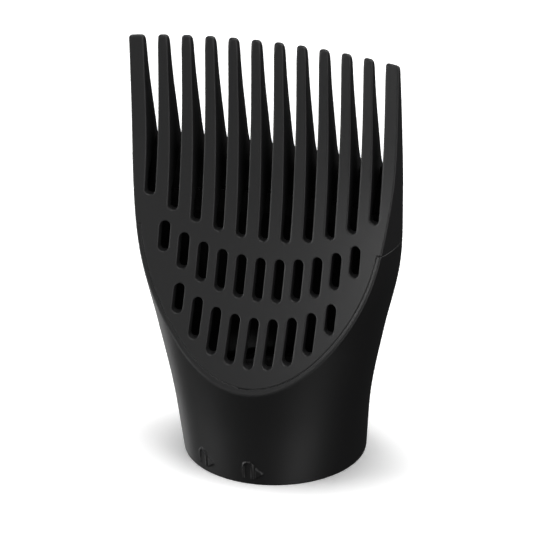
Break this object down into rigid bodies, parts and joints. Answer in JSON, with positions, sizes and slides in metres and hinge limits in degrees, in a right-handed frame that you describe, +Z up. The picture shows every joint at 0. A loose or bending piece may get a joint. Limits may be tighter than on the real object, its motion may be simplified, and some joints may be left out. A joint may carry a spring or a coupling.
{
  "type": "hair dryer comb nozzle",
  "caption": "Comb nozzle for a hair dryer: a round socket flares into a wide head whose hollow slotted face ends in a row of long comb teeth.",
  "frame": {"origin": "middle of the footprint, on the plane of the socket's mouth; the socket's own axis stands 0.8 mm behind it", "axes": "+Z up from the socket to the tips of the teeth, -Y out of the slotted face, +X across the row of teeth"},
  "size_m": [0.0744, 0.0522, 0.1204],
  "materials": {
    "head_plastic": "fine satin moulded grain",
    "body_plastic": "fine satin moulded grain",
    "collar_plastic": "plain matt"
  },
  "bodies": {
    "root": {"comb_head": "head_plastic", "socket_body": "body_plastic", "bayonet_collar": "collar_plastic"}
  },
  "joints": []
}
